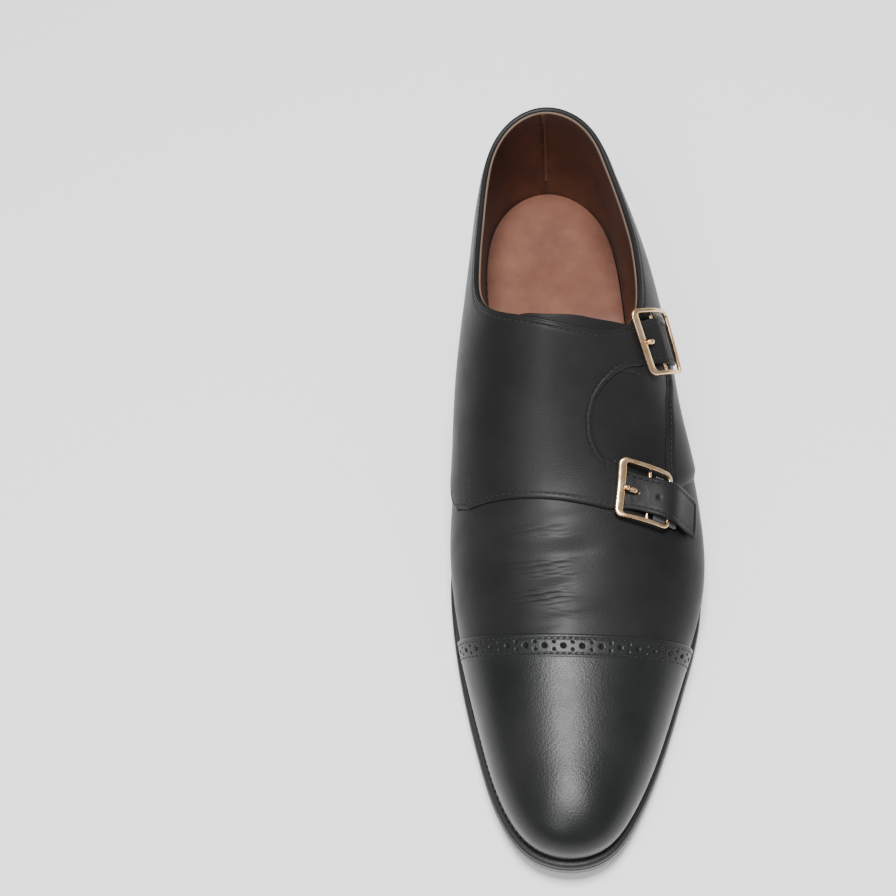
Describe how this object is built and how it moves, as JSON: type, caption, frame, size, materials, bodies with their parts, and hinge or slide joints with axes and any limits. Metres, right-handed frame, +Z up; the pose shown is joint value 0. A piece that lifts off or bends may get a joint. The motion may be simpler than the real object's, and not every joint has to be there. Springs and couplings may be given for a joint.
{
  "type": "monk strap shoe",
  "caption": "Men's left dress shoe in black calf with a punched toe cap, a flap over the instep closed by two buckled straps, a welted leather sole and a stacked heel.",
  "frame": {"origin": "centre of the heel's ground face", "axes": "+Z up, -Y to the toe, +X to the lateral side with the buckles"},
  "size_m": [0.1024, 0.302, 0.1002],
  "materials": {
    "calf": "polished black calf",
    "sole_leather": "black stained sole leather",
    "heel_leather": "black stained leather lifts",
    "heel_rubber": "matte rubber",
    "insole_leather": "smooth brown lining leather",
    "gold_plate": "polished gold plate",
    "elastic": "woven elastic"
  },
  "bodies": {
    "root": {"outsole": "sole_leather", "welt": "sole_leather", "heel_stack": "heel_leather", "heel_top_piece": "heel_rubber", "insole": "insole_leather", "upper": "calf", "toe_cap": "calf", "monk_flap": "calf", "lateral_quarter": "calf", "upper_buckle_frame": "gold_plate", "upper_buckle_prong": "gold_plate", "upper_elastic_keeper": "elastic", "lower_buckle_frame": "gold_plate", "lower_buckle_prong": "gold_plate", "lower_elastic_keeper": "elastic"}
  },
  "joints": []
}
